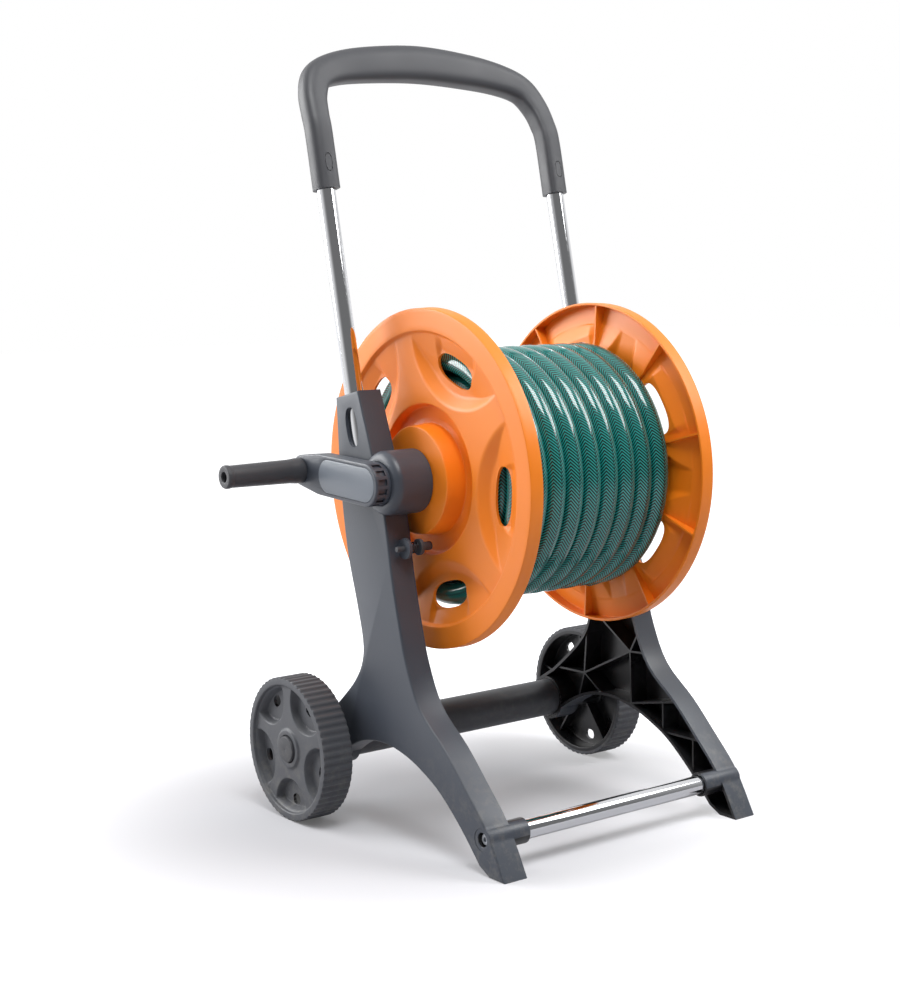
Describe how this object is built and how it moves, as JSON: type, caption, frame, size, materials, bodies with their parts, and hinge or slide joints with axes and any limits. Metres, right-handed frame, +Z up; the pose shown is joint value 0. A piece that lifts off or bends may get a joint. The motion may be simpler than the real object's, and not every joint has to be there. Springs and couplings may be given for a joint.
{
  "type": "hose reel cart",
  "caption": "Two-wheeled garden hose cart: a crank-turned drum with lobed, windowed flanges and a wound hose, on ribbed legs with a tall bow handle.",
  "frame": {"origin": "bottom centre of the bounding box, on the floor", "axes": "+X along the drum axis away from the crank, -Y towards the feet, +Z up"},
  "size_m": [0.4632, 0.3522, 0.7522],
  "materials": {
    "grey_plastic": "fine moulded grain",
    "dark_plastic": "moulded",
    "orange_plastic": "satin gloss",
    "chrome": "polished",
    "steel": "zinc plated",
    "hose_pvc": "clear glossy skin over a woven layer",
    "seal_rubber": "matte"
  },
  "bodies": {
    "frame": {"left_leg": "grey_plastic", "right_leg": "grey_plastic", "left_upright_tube": "chrome", "right_upright_tube": "chrome", "handle": "grey_plastic", "front_bar": "chrome", "bar_plug_left": "dark_plastic", "bar_plug_right": "dark_plastic", "bar_screw_left": "steel", "bar_screw_right": "steel", "cross_tube": "dark_plastic", "axle_rod": "steel", "axle_washer_left": "steel", "axle_washer_right": "steel", "axle_cap_left": "dark_plastic", "axle_cap_right": "dark_plastic", "inlet_spindle": "dark_plastic", "inlet_seal": "seal_rubber", "brake_spring": "steel"},
    "drum": {"left_flange": "orange_plastic", "right_flange": "orange_plastic", "drum_barrel": "orange_plastic", "hose_inner_layers": "hose_pvc", "hose_outer_layer": "hose_pvc", "crank_arm": "grey_plastic", "crank_cover": "grey_plastic", "crank_screw": "steel", "crank_nut": "steel", "grip_pin": "steel", "swivel_elbow": "dark_plastic"},
    "grip": {"crank_grip": "dark_plastic"},
    "wheel_left": {"left_wheel": "dark_plastic"},
    "wheel_right": {"right_wheel": "dark_plastic"},
    "brake": {"brake_plunger": "dark_plastic"},
    "button_left": {"left_snap_button": "dark_plastic"},
    "button_right": {"right_snap_button": "dark_plastic"}
  },
  "joints": [
    {"name": "drum_spin", "type": "hinge", "parent": "frame", "child": "drum", "pos_m": [0.02865, -0.00605, 0.336], "axis": [1, 0, 0], "continuous": true},
    {"name": "grip_spin", "type": "hinge", "parent": "drum", "child": "grip", "pos_m": [-0.18935, 0.10379, 0.34195], "axis": [1, 0, 0], "continuous": true},
    {"name": "wheel_left_spin", "type": "hinge", "parent": "frame", "child": "wheel_left", "pos_m": [-0.15735, 0.10545, 0.0706], "axis": [1, 0, 0], "continuous": true},
    {"name": "wheel_right_spin", "type": "hinge", "parent": "frame", "child": "wheel_right", "pos_m": [0.21465, 0.10545, 0.0706], "axis": [1, 0, 0], "continuous": true},
    {"name": "brake_slide", "type": "slide", "parent": "frame", "child": "brake", "axis": [1, 0, 0], "range_m": [0, 0.008]},
    {"name": "button_left_press", "type": "slide", "parent": "frame", "child": "button_left", "axis": [0, 0.9799, -0.1994], "range_m": [0, 0.003], "stiffness_N_per_m": 1500, "springref_m": -0.001},
    {"name": "button_right_press", "type": "slide", "parent": "frame", "child": "button_right", "axis": [0, 0.9799, -0.1994], "range_m": [0, 0.003], "stiffness_N_per_m": 1500, "springref_m": -0.001}
  ]
}
